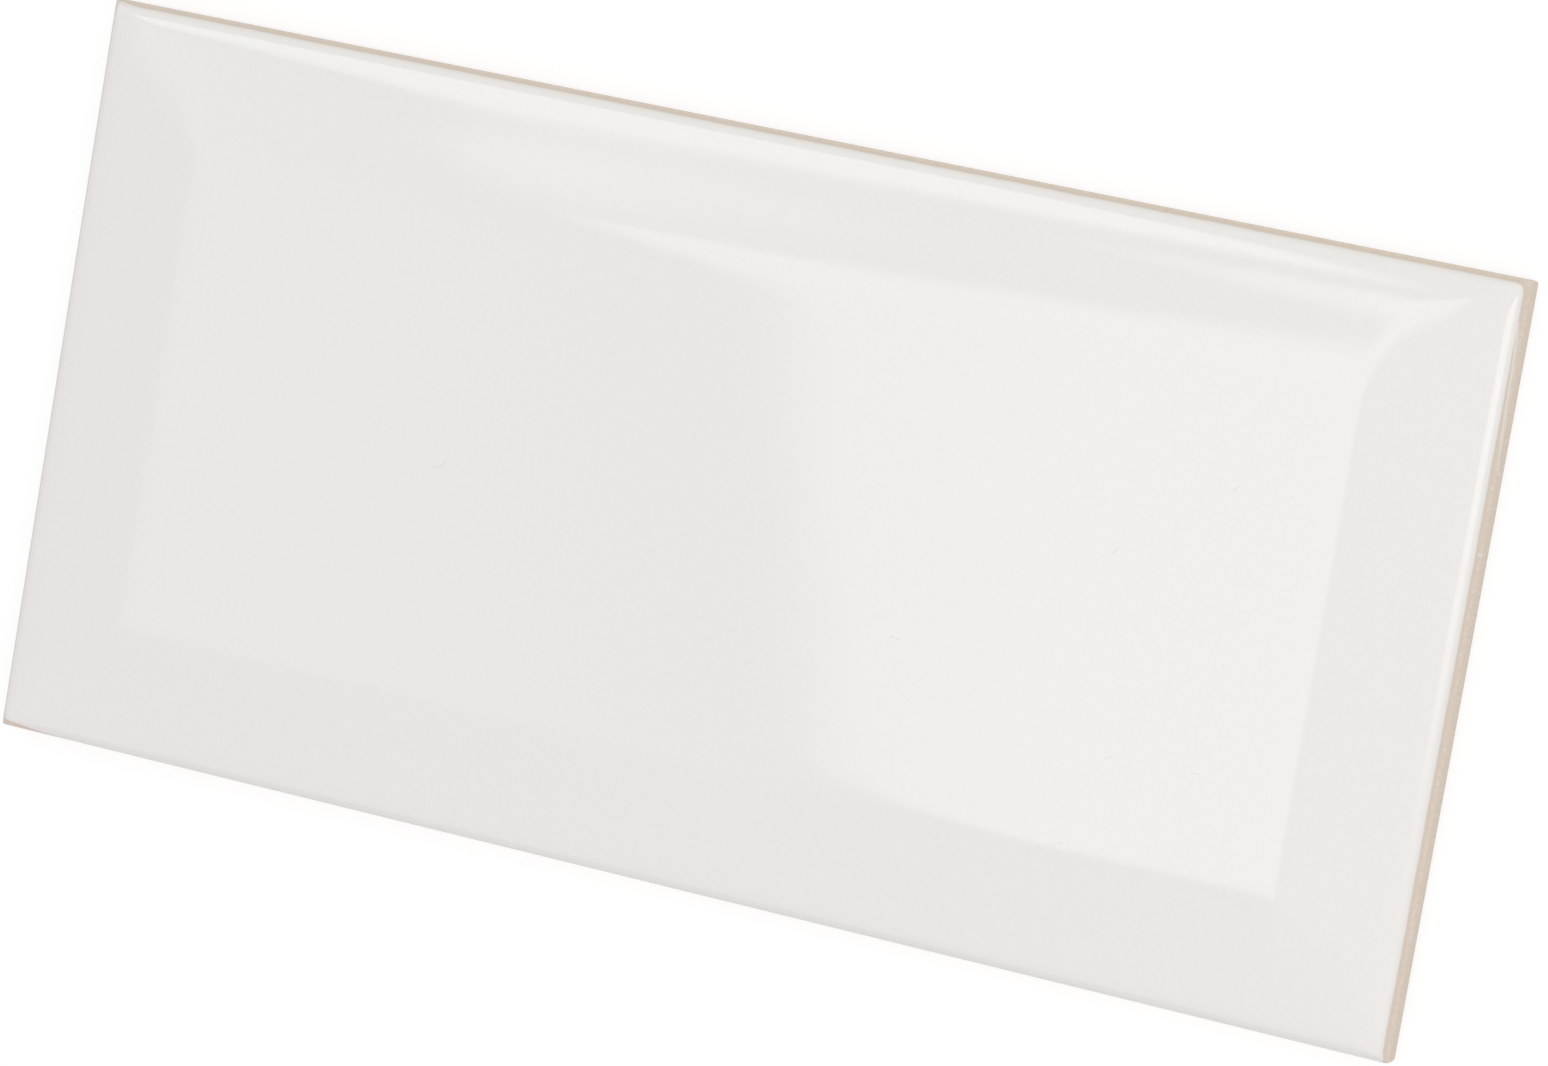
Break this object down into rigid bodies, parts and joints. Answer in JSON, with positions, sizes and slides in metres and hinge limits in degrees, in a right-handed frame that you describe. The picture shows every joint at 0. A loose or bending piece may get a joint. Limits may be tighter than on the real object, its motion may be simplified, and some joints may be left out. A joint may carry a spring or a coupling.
{
  "type": "subway wall tile",
  "caption": "Rectangular glazed ceramic wall tile with a flat field, a wide soft bevel round it and bare biscuit edges; the back is keyed for adhesive.",
  "frame": {"origin": "middle of the back, which lies on the floor or against the bed of adhesive", "axes": "+X along the tile's length, +Y along its width, +Z out of the glazed face"},
  "size_m": [0.2, 0.1, 0.008],
  "materials": {
    "white_glaze": "gloss white glaze over a pale buff biscuit"
  },
  "bodies": {
    "root": {"tile": "white_glaze"}
  },
  "joints": []
}
